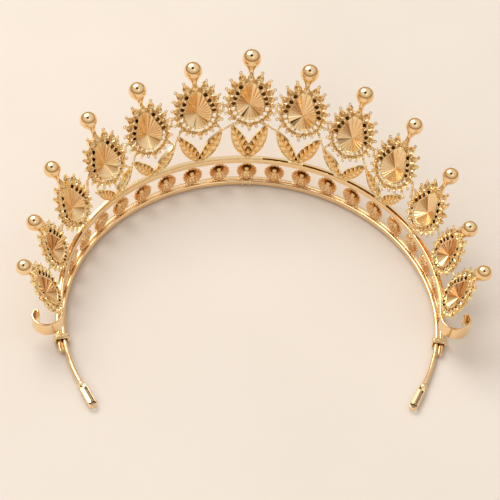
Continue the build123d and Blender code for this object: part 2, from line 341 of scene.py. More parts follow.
def pierced_plate(outline, holes, thickness, edge):
    """Flat plate about z = 0 with rounded edges, cut by closed outlines."""
    curve = bpy.data.curves.new("outline", "CURVE")
    curve.dimensions = "2D"
    curve.fill_mode = "BOTH"
    curve.extrude = (thickness / 2 - edge) * MM
    curve.bevel_depth = edge * MM
    curve.bevel_resolution = 2
    curve.offset = -edge * MM
    for points in [outline] + [hole[::-1] for hole in holes]:
        spline = curve.splines.new("POLY")
        spline.points.add(len(points) - 1)
        for slot, (x, y) in zip(spline.points, points):
            slot.co = (x * MM, y * MM, 0, 1)
        spline.use_cyclic_u = True
    holder = bpy.data.objects.new("outline", curve)
    bpy.context.scene.collection.objects.link(holder)
    bpy.context.view_layer.update()
    mesh = bpy.data.meshes.new_from_object(
        holder.evaluated_get(bpy.context.evaluated_depsgraph_get())
    )
    verts = [v.co / MM for v in mesh.vertices]
    faces = [tuple(face.vertices) for face in mesh.polygons]
    bpy.data.objects.remove(holder)
    bpy.data.curves.remove(curve)
    bpy.data.meshes.remove(mesh)
    return verts, faces


def rounded_section(x0, x1, y0, y1, corner, steps=4):
    """Rectangle with round corners, as (radius, height) points."""
    points = []
    for cx, cy, start in (
        (x1 - corner, y1 - corner, 0),
        (x0 + corner, y1 - corner, 90),
        (x0 + corner, y0 + corner, 180),
        (x1 - corner, y0 + corner, 270),
    ):
        for i in range(steps + 1):
            turn = math.radians(start + 90 * i / steps)
            points.append((cx + corner * math.cos(turn), cy + corner * math.sin(turn)))
    return points


def make_piece(name, shape, materials, nodes, smooth_angle=40.0):
    """Object from a shape in millimetres, riding on the crown in place of its CAD nodes."""
    mesh = bpy.data.meshes.new(name)
    mesh.from_pydata([v * MM for v in map(Vector, shape.verts)], [], shape.faces)
    mesh.polygons.foreach_set("material_index", shape.tones)
    build = bmesh.new()
    build.from_mesh(mesh)
    bmesh.ops.recalc_face_normals(build, faces=build.faces)
    build.to_mesh(mesh)
    build.free()
    mesh.polygons.foreach_set("use_smooth", [True] * len(mesh.polygons))
    mesh.set_sharp_from_angle(angle=math.radians(smooth_angle))
    mesh.update()
    piece = bpy.data.objects.new(name, mesh)
    bpy.context.scene.collection.objects.link(piece)
    for material in materials:
        mesh.materials.append(material)
    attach(piece, "root")
    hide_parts(*nodes)
    return piece


# ------------------------------------------------------------------ materials
# noise scales in cycles per metre
PATCH_SCALE = 170
SPECKLE_SCALE = 2600


def new_material(name):
    material = bpy.data.materials.new(name)
    material.use_nodes = True
    tree = material.node_tree
    return material, tree, tree.nodes["Principled BSDF"]


def add_noise(tree, scale, detail, roughness=0.55):
    """Noise in object space; the scale is in cycles per metre."""
    coords = tree.nodes.new("ShaderNodeTexCoord")
    noise = tree.nodes.new("ShaderNodeTexNoise")
    noise.inputs["Scale"].default_value = scale
    noise.inputs["Detail"].default_value = detail
    noise.inputs["Roughness"].default_value = roughness
    tree.links.new(coords.outputs["Object"], noise.inputs["Vector"])
    return noise.outputs["Fac"]


def add_ramp(tree, source, stops):
    ramp = tree.nodes.new("ShaderNodeValToRGB")
    elements = ramp.color_ramp.elements
    while len(elements) < len(stops):
        elements.new(0.5)
    for element, (position, colour) in zip(elements, stops):
        element.position = position
        element.color = (*colour, 1) if len(colour) == 3 else colour
    tree.links.new(source, ramp.inputs["Fac"])
    return ramp.outputs["Color"]


def add_mix(tree, factor, first, second, blend="MIX"):
    mix = tree.nodes.new("ShaderNodeMix")
    mix.data_type = "RGBA"
    mix.blend_type = blend
    for socket, value in (("Factor", factor), ("A", first), ("B", second)):
        slots = [s for s in mix.inputs if s.name == socket and s.enabled]
        if hasattr(value, "links"):
            tree.links.new(value, slots[0])
        else:
            slots[0].default_value = value
    return [s for s in mix.outputs if s.enabled][0]


def gold_material(name, light, deep, roughness, hollow_shade, shade_reach, bump):
    """Plated gold: light and deep tones in patches, painted shade darkening its recesses, worn
    edges, fine marks.
    """
    material, tree, shader = new_material(name)
    patches = add_noise(tree, PATCH_SCALE, 3)
    speckle = add_noise(tree, SPECKLE_SCALE, 5, 0.65)
    tone = add_ramp(tree, patches, ((0.35, deep), (0.68, light)))
    # painted shade: ambient occlusion darkens the recesses towards the shade tone
    occlusion = tree.nodes.new("ShaderNodeAmbientOcclusion")
    occlusion.inputs["Distance"].default_value = shade_reach * MM
    occlusion.samples = 6
    cavity_shade = add_ramp(tree, occlusion.outputs["AO"], ((0.10, (0, 0, 0)), (0.55, (1, 1, 1))))
    tone = add_mix(tree, cavity_shade, (*hollow_shade, 1), tone)
    geometry = tree.nodes.new("ShaderNodeNewGeometry")
    worn = add_ramp(tree, geometry.outputs["Pointiness"], ((0.53, (0, 0, 0)), (0.64, (1, 1, 1))))
    paler = tuple(min(c * 1.12 + 0.03, 1.0) for c in light)
    tone = add_mix(tree, worn, tone, (*paler, 1))
    tree.links.new(tone, shader.inputs["Base Color"])
    smooth, dull = roughness
    rough = add_ramp(tree, speckle, ((0.3, (smooth,) * 3), (0.75, (dull,) * 3)))
    tree.links.new(rough, shader.inputs["Roughness"])
    shader.inputs["Metallic"].default_value = 1.0
    relief = tree.nodes.new("ShaderNodeBump")
    relief.inputs["Strength"].default_value = bump
    relief.inputs["Distance"].default_value = 0.00012
    tree.links.new(speckle, relief.inputs["Height"])
    tree.links.new(relief.outputs["Normal"], shader.inputs["Normal"])
    return material


# arguments: light tone, deep tone, smoothest and dullest roughness, tone of the painted shade in
# recesses, its reach in mm, bump
polished = gold_material(
    "polished_gold",
    (0.98, 0.74, 0.44),
    (0.95, 0.67, 0.36),
    (0.06, 0.14),
    (0.50, 0.22, 0.08),
    1.2,
    0.04,
)
cast = gold_material(
    "cast_gold",
    (1.0, 0.78, 0.45),
    (1.0, 0.69, 0.34),
    (0.08, 0.18),
    (0.24, 0.09, 0.02),
    0.7,
    0.12,
)
burnished = gold_material(
    "burnished_gold",
    (0.97, 0.72, 0.42),
    (0.93, 0.61, 0.30),
    (0.07, 0.16),
    (0.34, 0.13, 0.03),
    0.8,
    0.06,
)
# amber painted shade: a darker, oranger copy of the gold, standing in for the shade inside the
# rosette cups
amber_painted_shade = gold_material(
    "amber_painted_shade_gold",
    (0.96, 0.66, 0.35),
    (0.88, 0.52, 0.23),
    (0.08, 0.18),
    (0.22, 0.07, 0.02),
    1.6,
    0.06,
)
# dark painted shade: a near-black gold for the faces of slots, holes and grooves that shade would
# darken
dark_painted_shade = gold_material(
    "dark_painted_shade_gold",
    (0.26, 0.13, 0.04),
    (0.15, 0.07, 0.02),
    (0.25, 0.45),
    (0.05, 0.02, 0.01),
    0.8,
    0.10,
)
satin = gold_material(
    "satin_gold",
    (1.0, 0.78, 0.47),
    (0.95, 0.66, 0.34),
    (0.34, 0.46),
    (0.42, 0.18, 0.06),
    0.4,
    0.05,
)
# mid painted shade: a darker gold for the shaded sides of petals and pleats
mid_painted_shade = gold_material(
    "mid_painted_shade_gold",
    (0.74, 0.42, 0.18),
    (0.60, 0.30, 0.11),
    (0.16, 0.28),
    (0.20, 0.07, 0.02),
    0.8,
    0.08,
)
wire = gold_material(
    "wire_gold",
    (0.97, 0.76, 0.48),
    (0.92, 0.66, 0.36),
    (0.12, 0.26),
    (0.42, 0.19, 0.06),
    0.8,
    0.10,
)


# ------------------------------------------------------------------ headband and rails
band = Shape()
band.add(
    *bent_bar(
        rounded_section(
            HOOP_RADIUS - HOOP_THICKNESS / 2,
            HOOP_RADIUS + HOOP_THICKNESS / 2,
            TIE_WIRE,
            TIE_WIRE + HOOP_HEIGHT,
            0.75,
            5,
        ),
        -HOOP_END_ANGLE,
        HOOP_END_ANGLE,
    )
)
make_piece("headband_strip", band, [polished], ["headband"])

base = Shape()
base.add(
    *bent_bar(
        rounded_section(
            CASTING_RADIUS,
            CASTING_RADIUS + BASE_THICKNESS,
            TIE_WIRE,
            TIE_WIRE + BASE_HEIGHT,
            0.55,
        ),
        -BASE_END_ANGLE,
        BASE_END_ANGLE,
    )
)
make_piece("base_rail_bar", base, [polished], ["base_rail"])

rail = Shape()
inner, outer = CROWN_RADIUS - CROWN_THICKNESS / 2, CROWN_RADIUS + CROWN_THICKNESS / 2
ledge = outer + 0.6
top, bottom = RAIL_TOP, CROWN_BOTTOM
rail_section = [
    (inner + 0.25, bottom),
    (outer - 0.25, bottom),
    (outer, bottom + 0.25),
    (outer, top - 1.0),
    (ledge - 0.1, top - 1.0),
    (ledge, top - 0.9),
    (ledge, top - 0.4),
    (ledge - 0.1, top - 0.3),
    (outer, top - 0.3),
    (outer - 0.25, top),
    (inner + 0.75, top),
    (inner + 0.65, top - 0.12),
    (inner + 0.62, top - 1.1),
    (inner + 0.3, top - 1.1),
    (inner + 0.27, top - 0.62),
    (inner + 0.18, top - 0.52),
    (inner + 0.08, top - 0.55),
    (inner, top - 0.7),
    (inner - 0.05, (top + bottom) / 2),
    (inner, bottom + 0.25),
]
crown_centre = (0, -CROWN_SHIFT, 0)
rail.add(*bent_bar(rail_section, -CROWN_END_ANGLE, CROWN_END_ANGLE, crown_centre))
# the groove along the top is bridged at the front and at the foot of every peak
bridge = [
    (inner + 0.2, top - 1.0),
    (inner + 0.75, top - 1.0),
    (inner + 0.75, top - 0.08),
    (inner + 0.5, top - 0.12),
    (inner + 0.2, top - 0.5),
]
rail.add(*bent_bar(bridge, -5, 64, crown_centre, 70))
for step in range(-PEAKS_EACH_SIDE, PEAKS_EACH_SIDE + 1):
    middle = step * PEAK_PITCH
    rail.add(*bent_bar(bridge, middle - 2.5, middle + 2.5, crown_centre, 6))
make_piece("crown_rail_bar", rail, [polished], ["crown_rail"], 30)


# ------------------------------------------------------------------ eyelets
def eyelet_outline():
    """The plate, its bulging neck and the end of the headband that it grows from."""
    body = EYELET_LENGTH - EYELET_NECK + EYELET_WIDTH / 2
    half = (body - EYELET_WIDTH) / 2
    middle = EYELET_LENGTH - body / 2
    lower = [(0, -0.8), (0.7, -0.86), (1.3, -1.1), (2.0, -1.12), (2.6, -1.22), (3.2, -1.4)]
    points = list(lower)
    for i in range(17):
        turn = -math.pi / 2 + math.pi * i / 16
        x = middle + half + EYELET_WIDTH / 2 * math.cos(turn)
        points.append((x, EYELET_WIDTH / 2 * math.sin(turn)))
    return points + [(x, -y) for x, y in lower[::-1]]


def make_eyelet(side, node):
    angle = side * HOOP_END_ANGLE
    origin = outward(angle) * HOOP_RADIUS + Vector((0, 0, TIE_WIRE + HOOP_HEIGHT / 2))
    middle = EYELET_NECK + SLOT_LENGTH / 2
    slots = [oval((middle, lift * SLOT_PITCH / 2), SLOT_LENGTH, SLOT_WIDTH) for lift in (-1, 1)]
    shape = Shape()
    verts, faces = pierced_plate(eyelet_outline(), slots, EYELET_THICKNESS, 0.24)
    shape.add(verts, faces, place(origin, along(angle) * side, Vector((0, 0, 1))))
    # the walls of the slots take a painted dark shade
    for i, face in enumerate(faces):
        ring = [Vector(verts[v]) for v in face]
        middle = sum(ring, Vector()) / len(ring)
        depth = max(point.z for point in ring) - min(point.z for point in ring)
        along_slot = -0.1 < middle.x - EYELET_NECK < SLOT_LENGTH + 0.1
        if depth > WALL_DEPTH and along_slot and abs(middle.y) < SLOT_PITCH:
            shape.tones[i] = 1
    # a collar of solder swells where the plate meets the headband
    collar = [
        (0.2, -0.3),
        (0.85, -0.1),
        (1.1, 0.4),
        (1.2, 1.0),
        (1.05, 1.6),
        (0.7, 2.1),
        (0.2, 2.4),
    ]
    shape.add(*turned(collar, 20), place(origin, -outward(angle), Vector((0, 0, 1)) * -side))
    make_piece(node + "_plate", shape, [satin, dark_painted_shade], [node], 35)


make_eyelet(1, "left_eyelet")
make_eyelet(-1, "right_eyelet")


# ------------------------------------------------------------------ rosettes
def rosette_shape():
    """Small cup, open towards the head, with a serrated rim and a boss in its middle."""
    shape = Shape()
    petals, sides = 16, 96
    rows = [
        # radius, height from the mouth (outward is positive), share of the scallop
        (0.0, 0.35, 0.0),
        (0.45, 0.45, 0.0),
        (0.78, 0.75, 0.0),
        (0.9, 1.2, 0.0),
        (0.95, 2.0, 0.1),
        (1.5, 2.0, 0.3),
        (1.75, 1.45, 0.4),
        (2.5, 0.95, 0.7),
        (3.1, 0.45, 1.0),
        (3.5, 0.08, 1.0),
        (3.8, 0.0, 1.0),
        (3.92, 0.3, 1.0),
        (3.45, 0.95, 0.7),
        (2.4, 1.75, 0.4),
        (1.3, 2.3, 0.1),
        (0.0, 2.4, 0.0),
    ]
    verts = []
    for radius, height, share in rows:
        for k in range(sides):
            turn = TAU * k / sides
            wave = abs(math.cos(petals * turn / 2))
            tip = 1 - 0.075 * share * (1 - wave) if radius > 2.5 else 1.0
            reach = radius * tip
            depth = height - 0.12 * share * (1 - wave)
            verts.append(Vector((reach * math.sin(turn), reach * math.cos(turn), depth)))
    shape.add(verts, grid_faces(len(rows), sides, wrap_columns=True))
    # the boss is polished, the ring round it takes a painted dark shade and the rest of the cup the
    # amber painted shade
    for i in range(len(rows) - 1):
        tone = 1 if i < 3 else 2 if i < 5 else 0
        shape.tones[i * sides : (i + 1) * sides] = [tone] * sides
    return shape


def rosette_place(step):
    """Plane of one cup's mouth, leaning in as far as the crown rail does there."""
    angle = step * ROSETTE_PITCH
    low = TIE_WIRE + BASE_HEIGHT
    reach = CROWN_RADIUS - CROWN_THICKNESS / 2 + CROWN_SHIFT * math.cos(math.radians(angle))
    lean = math.atan2(CASTING_RADIUS - reach, CROWN_BOTTOM - low)
    upward = Vector((0, 0, math.cos(lean))) - outward(angle) * math.sin(lean)
    foot = outward(angle) * CASTING_RADIUS + Vector((0, 0, low))
    rise = CROWN_BOTTOM - ROSETTE_RADIUS - low
    return wall_place(foot + upward * rise, angle, -math.degrees(lean))


rosette = rosette_shape()
foot_drop = CROWN_BOTTOM - ROSETTE_RADIUS - TIE_WIRE - BASE_HEIGHT
rosettes = Shape()
for step in range(-ROSETTES_EACH_SIDE, ROSETTES_EACH_SIDE + 1):
    matrix = rosette_place(step)
    rosettes.add_shape(rosette, matrix)
    foot = [(0, -ROSETTE_RADIUS + 0.4, 0.9), (0, -foot_drop - 0.1, 0.9)]
    rosettes.add(*tube(foot, [0.6, 0.95], 12), matrix)
    for side in (-1, 1):
        curl = []
        for i in range(12):
            turn = math.radians(-100 + 300 * i / 11)
            radius = 0.35 + 0.5 * i / 11
            x = side * (1.75 - radius * math.cos(turn))
            curl.append((x, -foot_drop + 0.7 + radius * math.sin(turn), 0.8))
        rosettes.add(*tube(curl, 0.24, 6), matrix)
make_piece("rosette_row", rosettes, [amber_painted_shade, polished, dark_painted_shade], ["rosettes"], 50)


# ------------------------------------------------------------------ leaves
def leaf_blade(tip, width):
    """Leaf from the origin to its tip, with raised rim and midrib and an end bead.

    The half that faces the pair's other leaf sinks deep between its veins, and its deepest faces
    take a painted dark shade.
    """
    inner_side = -1 if tip[0] > 0 else 1
    shaded_hollows = set()
    axis = Vector((tip[0], tip[1], 0))
    length = axis.length
    stations, across = 56, 21
    front, back = [], []
    for i in range(stations):
        share = i / (stations - 1)
        half = width / 2 * math.sin(math.pi * share**0.95) ** 0.85 + 0.14
        for k in range(across):
            side = -1 + 2 * k / (across - 1)
            middle = 1 - abs(2 * abs(side) - 1) ** 1.5
            wave = math.cos(TAU * (share * 6 - abs(side) * 0.8))
            if side * inner_side > 0:
                relief = -0.95 * max(wave + 0.3, 0) ** 0.8 * middle
                if relief < -0.4:
                    shaded_hollows.add(len(front))
            else:
                relief = -0.05 * middle - 0.45 * max(wave, 0) ** 6 * middle
            rib = 0.32 * math.exp(-((side / 0.12) ** 2))
            rim = 0.26 * math.exp(-(((abs(side) - 0.96) / 0.12) ** 2))
            height = (rib + rim) * half + relief
            front.append(Vector((side * half, share * length, min(-height - 0.55, 0.2))))
            vein = 0.14 * max(wave, 0) ** 4 * middle + 0.16 * math.exp(-((side / 0.1) ** 2))
            back.append(Vector((side * half * 0.97, share * length, 0.42 - vein - 0.1 * abs(side))))
    shape = Shape()
    matrix = place(Vector((0, 0, 0)), Vector((axis.y, -axis.x, 0)), Vector((0, 0, 1)))
    shape.add(*skin(front, back, stations, across), matrix)
    # faces sunk deepest take the painted dark shade
    shape.tones = [1 if shaded_hollows.issuperset(face) else 0 for face in shape.faces]
    shape.add(*bead(0.68, 1.0, 8, 12), Matrix.Translation((tip[0], tip[1], -0.1)))
    return shape


def make_leaf_pair(step):
    reach, rise = LEAF_TIPS[abs(step)]
    width = math.hypot(reach, rise) * LEAF_WIDTH_SHARE
    shape = Shape()
    for side in (-1, 1):
        shape.add_shape(leaf_blade((side * reach, rise), width), leaf_place(step))
    shape.add(*bead(1.05, 0.7), leaf_place(step) @ Matrix.Translation((0, 0.3, -0.1)))
    number = step + PEAKS_EACH_SIDE + 1
    node = f"leaf_pair_{number:02d}"
    make_piece(f"leaves_{number:02d}", shape, [cast, dark_painted_shade], [node], 60)


for leaf_step in range(1 - len(LEAF_TIPS), len(LEAF_TIPS)):
    make_leaf_pair(leaf_step)


# ------------------------------------------------------------------ drops
def petal_shape(length, width):
    """Prong along y: a narrow web, then a small scooped leaf with an open ring at its tip."""
    stations, across = 16, 9
    front, back = [], []
    hollow_shade = set()
    for i in range(stations):
        share = i / (stations - 1)
        if share < 0.58:
            open_up = min(max((share - 0.24) / 0.34, 0), 1)
            half = 0.33 + (width / 2 - 0.33) * open_up**2 * (3 - 2 * open_up)
        else:
            half = (width / 2 - 0.14) * (1 - ((share - 0.58) / 0.42) ** 1.6) + 0.14
        bowl = math.sin(math.pi * min(max((share - 0.34) / 0.6, 0), 1)) ** 0.7
        for k in range(across):
            side = -1 + 2 * k / (across - 1)
            crest = 0.45 + 0.55 * math.sin(math.pi * share * 0.9)
            ridge = 0.22 * math.exp(-((side / 0.16) ** 2)) * bowl
            scoop = 0.75 * (1 - side**4) * bowl - ridge
            if scoop > 0.4 and side > 0.2:
                hollow_shade.add(len(front))
            front.append(Vector((side * half, share * length, -crest + scoop)))
            back.append(Vector((side * half * 0.9, share * length, 0.40)))
    shape = Shape()
    shape.add(*skin(front, back, stations, across))
    # the scooped faces on one side of each petal's ridge take a painted shade
    shape.tones = [2 if hollow_shade.issuperset(face) else 0 for face in shape.faces]
    ring = []
    for i in range(12):
        turn = TAU * i / 12
        ring.append((0.46 * math.sin(turn), length + 0.25 - 0.46 * math.cos(turn), -0.4))
    shape.add(*tube(ring, 0.17, 6, closed=True))
    return shape


def hole_middle(corner, scale, height=0.0):
    """Middle of the hole between two prongs; corners are counted in half pitches."""
    return pear_point(HOLE_ROW, math.pi * corner / HALO_PRONGS, scale, height)


def halo_plate(scale):
    """Narrow pear-shaped plate round the cup, drilled with a row of round holes."""
    steps = 160
    outer, inner, holes = [], [], []
    for i in range(steps):
        turn = TAU * i / steps
        ripple = 0.22 * math.cos(HALO_PRONGS * turn)
        radius = scale * (pear_radius(HALO_ROOT, turn) + ripple)
        outer.append((radius * math.sin(turn), radius * math.cos(turn)))
        radius = scale * (pear_radius(CUP, turn) - 0.05)
        inner.append((radius * math.sin(turn), radius * math.cos(turn)))
    size = 1.6 * scale
    for corner in HOLE_CORNERS:
        holes.append(oval(hole_middle(corner, scale), size * 1.001, size))
    return pierced_plate(outer[::-1], [inner] + [hole[::-1] for hole in holes], 1.2, 0.14)


def make_halo(step):
    """Pierced plate with a thin bezel, and the prongs that spread from it."""
    scale = PEAK_SCALES[abs(step)]
    shape = Shape()
    verts, faces = halo_plate(scale)
    shape.add(verts, faces)
    # the walls of the holes take a painted dark shade
    holes = [hole_middle(corner, scale) for corner in HOLE_CORNERS]
    for i, face in enumerate(faces):
        ring = [Vector(verts[v]) for v in face]
        middle = sum(ring, Vector()) / len(ring)
        depth = max(point.z for point in ring) - min(point.z for point in ring)
        if depth > WALL_DEPTH and any((middle - hole).xy.length < scale for hole in holes):
            shape.tones[i] = 1
    bezel = [pear_point(CUP, TAU * i / 96, scale, -0.62) for i in range(96)]
    shape.add(*tube(bezel, 0.24, 8, closed=True))
    for i in range(1, HALO_PRONGS):
        turn = TAU * i / HALO_PRONGS
        foot = pear_point(CUP, turn, scale)
        foot += foot.normalized() * 0.2
        tip = pear_point(HALO_TIP, turn, scale)
        if 2 * i == HALO_PRONGS and abs(step) <= SPIKED_STEPS:
            tip = Vector((0, -scale * HALO_SPIKE, 0))
        reach = tip - foot
        lean = math.radians(random.uniform(-4, 4))
        direction = Matrix.Rotation(lean, 3, "Z") @ reach.normalized()
        matrix = place(foot, Vector((direction.y, -direction.x, 0)), Vector((0, 0, 1)))
        roll = Matrix.Rotation(math.radians(random.uniform(-9, 9)), 4, "Y")
        width = scale * (2.9 if math.cos(turn) > -0.3 else 2.5)
        shape.add_shape(petal_shape(reach.length - 0.55 * scale, width), matrix @ roll)
    # only the holes on the lower side go right through; the others are closed at the back by discs
    # in a painted dark shade
    for corner in HOLE_CORNERS:
        if FIRST_HOLE_CORNER <= corner <= 2 * HALO_PRONGS - FIRST_HOLE_CORNER:
            continue
        middle = hole_middle(corner, scale, 0.48)
        shape.add(*bead(0.95 * scale, 0.16, 5, 14), Matrix.Translation(middle), 1)
    top = pear_radius(CUP, 0) * scale
    stem = [(0, top - 0.1, -0.5), (0, top + 0.8, -0.65), (0, top + 2.4, -0.3)]
    shape.add(*tube(stem, [0.35, 0.75, 1.0], 12))
    placed = Shape()
    placed.add_shape(shape, drop_place(step))
    number = step + PEAKS_EACH_SIDE + 1
    node = f"drop_setting_{number:02d}"
    make_piece(f"halo_{number:02d}", placed, [cast, dark_painted_shade, mid_painted_shade], [node], 60)


def pleat_hand(step):
    """Direction in which a cup's pleats overlap: the wearer's last two right cups differ."""
    return -1 if step <= LAST_REVERSED_STEP else 1


def make_sunburst(step):
    """Thin cup of flat pleats, laid over each other like a fan, that meet at the focus."""
    scale = PEAK_SCALES[abs(step)]
    mouth = -HALO_THICKNESS / 2 + 0.1
    inside = [1.0, 0.85, 0.7, 0.55, 0.4, 0.25, 0.12, 0.03]
    sheet = [(share, 0.0) for share in inside] + [(share, 0.4) for share in inside[::-1]]
    verts = []
    for share, back in sheet:
        for k in range(PLEATS):
            for part, rise, _ in PLEAT_PROFILE:
                turn = pleat_hand(step) * TAU * (k + part) / PLEATS
                point = pear_point(CUP, turn, scale * share)
                crest = rise * PLEAT_RISE * point.length * (1.0 if back == 0 else 0.7)
                depth = mouth + CUP_DEPTH * (1 - share) - crest + back
                verts.append(Vector((point.x, point.y, depth)))
    columns = PLEATS * len(PLEAT_PROFILE)
    shape = Shape()
    faces = grid_faces(len(sheet), columns, wrap_rows=True, wrap_columns=True)
    shape.add(verts, faces)
    for i in range((len(sheet) - 1) * columns):
        shape.tones[i] = PLEAT_PROFILE[i % len(PLEAT_PROFILE)][2]
    hub = mouth + CUP_DEPTH - 0.02
    shape.add(*bead(0.34 * scale, 0.6, 6, 12), Matrix.Translation((0, 0, hub)))
    placed = Shape()
    placed.add_shape(shape, drop_place(step))
    number = step + PEAKS_EACH_SIDE + 1
    node = f"sunburst_{number:02d}"
    # the face after each pleat's crest is satin on the front cups and takes a painted shade on the
    # last two cups each side
    tones = [burnished, satin if abs(step) <= SPIKED_STEPS else mid_painted_shade]
    make_piece(f"rayed_cup_{number:02d}", placed, tones, [node], 9)


def make_finial(step):
    """Polished ball that tapers to a narrow neck, on a stem with a flared foot."""
    share = abs(step) / PEAKS_EACH_SIDE
    ball = BALL_RADIUS_FRONT + (BALL_RADIUS_END - BALL_RADIUS_FRONT) * share - 0.01
    scale = PEAK_SCALES[abs(step)]
    centre = BALL_HEIGHTS[abs(step)] - FOCUS_HEIGHTS[abs(step)]
    foot = pear_point(HALO_ROOT, math.pi / HALO_PRONGS, scale).y - 0.9
    neck = centre - ball * NECK_DROP
    slim = ball * NECK_SHARE
    profile = [
        (STEM_RADIUS * 1.3, foot),
        (STEM_RADIUS * 1.32, foot + 0.2),
        (STEM_RADIUS * 1.12, foot + 0.25 * (neck - foot)),
        ((STEM_RADIUS + slim) / 2, foot + 0.55 * (neck - foot)),
        (slim * 1.06, foot + 0.82 * (neck - foot)),
        (slim, neck),
        (slim + ball * 0.045, neck + ball * 0.14),
        (slim + ball * 0.15, neck + ball * 0.32),
        (slim + ball * 0.31, neck + ball * 0.53),
        (slim + ball * 0.44, neck + ball * 0.68),
    ]
    for i in range(25):
        turn = math.radians(130 - 130 * i / 24)
        profile.append((max(ball * math.sin(turn), 0.01), centre + ball * math.cos(turn)))
    placed = Shape()
    placed.add(*turned(profile, 48), drop_place(step))
    number = step + PEAKS_EACH_SIDE + 1
    node = f"ball_finial_{number:02d}"
    make_piece(f"finial_{number:02d}", placed, [polished], [node], 70)


for peak_step in range(-PEAKS_EACH_SIDE, PEAKS_EACH_SIDE + 1):
    make_halo(peak_step)
    make_sunburst(peak_step)
    make_finial(peak_step)


# ------------------------------------------------------------------ end scrolls
def make_scroll(side, node):
    """Upright ribbon that curls outward round the last drop, with rounded edges."""
    angle = side * CROWN_END_ANGLE
    start = crown_point(angle, RAIL_TOP - SCROLL_HEIGHT)
    matrix = place(start, along(angle) * side, Vector((0, 0, 1)))
    path = []
    for i in range(25):
        turn = math.pi * i / 24
        path.append((SCROLL_RADIUS * math.sin(turn), SCROLL_RADIUS * (1 - math.cos(turn))))
    for i in range(1, 11):
        share = i / 10
        path.append((-SCROLL_RUN * 0.6 * share, 2 * SCROLL_RADIUS - 0.5 * share**1.7))
    # the free end is rolled in
    for i in range(1, 12):
        turn = math.radians(90 + 20 * i)
        x = -SCROLL_RUN * 0.6 + 0.75 * math.cos(turn)
        path.append((x, 2 * SCROLL_RADIUS - 0.5 - 0.75 + 0.75 * math.sin(turn)))
    half = SCROLL_THICKNESS / 2
    verts = []
    section = rounded_section(-half, half, 0, SCROLL_HEIGHT, 0.35, 3)
    count = len(path)
    for i, (x, y) in enumerate(path):
        x0, y0 = path[max(i - 1, 0)]
        x1, y1 = path[min(i + 1, count - 1)]
        run = Vector((x1 - x0, y1 - y0, 0)).normalized()
        normal = Vector((run.y, -run.x, 0))
        for offset, height in section:
            point = Vector((x, y, 0)) + normal * offset
            verts.append(Vector((point.x, -side * point.y, height)))
    faces = grid_faces(count, len(section), wrap_columns=True)
    faces.append(tuple(range(len(section) - 1, -1, -1)))
    faces.append(tuple((count - 1) * len(section) + k for k in range(len(section))))
    shape = Shape()
    shape.add(verts, faces, matrix)
    make_piece(node + "_ribbon", shape, [polished], [node], 45)


make_scroll(1, "left_end_scroll")
make_scroll(-1, "right_end_scroll")


# ------------------------------------------------------------------ lashings
def make_lashing(angle, width, offsets, node, crossings=0):
    """Wire wound round the headband and the base rail, with a few turns laid across."""
    inner = HOOP_RADIUS - HOOP_THICKNESS / 2 - 0.05
    outer = CASTING_RADIUS + BASE_THICKNESS + 0.05
    top = TIE_WIRE + HOOP_HEIGHT + 0.05
    thin = TIE_WIRE / 2
    out, run = outward(angle), along(angle)
    shape = Shape()
    for offset in offsets:
        turns = max(round(width / TIE_WIRE), 1)
        loop = rounded_section(inner - thin, outer + thin, thin, top + thin, 0.45, 4)
        path = []
        for lap in range(turns):
            slack = random.uniform(0, 0.18)
            for i, (radius, height) in enumerate(loop):
                share = (lap + i / len(loop)) / turns
                shift = offset - width / 2 + thin + share * (width - 2 * thin)
                lift = slack if height > 2 * thin else 0
                path.append(out * radius + run * shift + Vector((0, 0, height + lift)))
        shape.add(*tube(path, thin, 8, first_up=run))
    for crossing in range(crossings):
        grow = 0.3 + 0.12 * crossing
        loop = rounded_section(inner - grow, outer + grow, thin, top + thin + grow, 0.6, 4)
        slant = (1 if crossing % 2 else -1) * width * 0.42
        path = []
        for i, (radius, height) in enumerate(loop + loop[:1]):
            shift = slant * math.cos(TAU * i / len(loop)) + random.uniform(-0.08, 0.08)
            path.append(out * radius + run * shift + Vector((0, 0, max(height, thin * 1.25))))
        shape.add(*tube(path, thin * 1.25, 8, first_up=run))
    make_piece(node + "_wire", shape, [wire], [node], 60)


make_lashing(0, 0.9, (-1.4, 1.4), "front_lashing")
make_lashing(SIDE_TIE_ANGLE, 2.6, (0,), "left_lashing", 4)
make_lashing(-SIDE_TIE_ANGLE, 2.6, (0,), "right_lashing", 2)


# ------------------------------------------------------------------ link wires
def sagging(start, end, sag, count=9):
    """Points of a shallow curve from start to end, dropping in its middle."""
    points = []
    for i in range(count):
        share = i / (count - 1)
        drop = Vector((0, 0, -sag * 4 * share * (1 - share)))
        points.append(start.lerp(end, share) + drop)
    return points


side_bars = Shape()
for step in range(-PEAKS_EACH_SIDE, PEAKS_EACH_SIDE):
    a = pear_point(HALO_TIP, math.pi / 2, PEAK_SCALES[abs(step)])
    b = pear_point(HALO_TIP, math.pi / 2, PEAK_SCALES[abs(step + 1)])
    start = drop_place(step) @ Vector((a.x, a.y, 0))
    end = drop_place(step + 1) @ Vector((-b.x, b.y, 0))
    side_bars.add(*tube(sagging(start, end, 0.0), LINK_RADIUS, 8))
make_piece("side_bars", side_bars, [wire], ["side_links"], 60)

tip_wires = Shape()
for step in range(1 - len(LEAF_TIPS), len(LEAF_TIPS) - 1):
    a, b = LEAF_TIPS[abs(step)], LEAF_TIPS[abs(step + 1)]
    start = leaf_place(step) @ Vector((a[0], a[1], 0))
    end = leaf_place(step + 1) @ Vector((-b[0], b[1], 0))
    tip_wires.add(*tube(sagging(start, end, 0.35), LINK_RADIUS * 0.8, 8))
